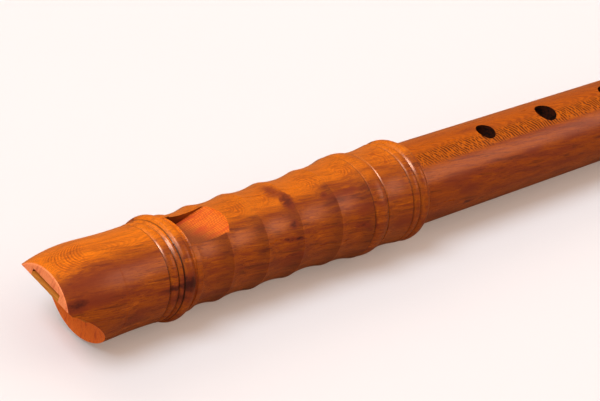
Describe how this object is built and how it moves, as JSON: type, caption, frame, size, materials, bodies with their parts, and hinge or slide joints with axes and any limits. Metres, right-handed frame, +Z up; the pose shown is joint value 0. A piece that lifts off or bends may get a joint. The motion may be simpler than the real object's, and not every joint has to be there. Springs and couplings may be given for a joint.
{
  "type": "soprano recorder",
  "caption": "Two-joint wooden soprano recorder: beaked head with window and wave-turned barrel, body tube with finger holes and turned foot, cedar block and corked tenon.",
  "frame": {"origin": "middle of the instrument in plan, on the surface it lies on", "axes": "+X along the bore from the beak to the foot, +Z up through the window and finger holes, +Y to the far side"},
  "size_m": [0.326, 0.0262, 0.0262],
  "materials": {
    "head_wood": "oiled plum wood, satin",
    "body_wood": "oiled plum wood, satin",
    "cedar": "bare cedar, matt",
    "cork": "waxed sheet cork, matt"
  },
  "bodies": {
    "body": {"body_joint": "body_wood"},
    "cork": {"tenon_cork": "cork"},
    "head": {"head_joint": "head_wood"},
    "block": {"block": "cedar"}
  },
  "joints": [
    {"name": "head_turn", "type": "hinge", "parent": "body", "child": "cork", "pos_m": [-0.05, 0, 0.0131], "axis": [1, 0, 0], "continuous": true},
    {"name": "head_pull", "type": "slide", "parent": "cork", "child": "head", "axis": [-1, 0, 0], "range_m": [0, 0.024]},
    {"name": "block_push", "type": "slide", "parent": "head", "child": "block", "axis": [-1, 0, 0], "range_m": [0, 0.045]}
  ]
}
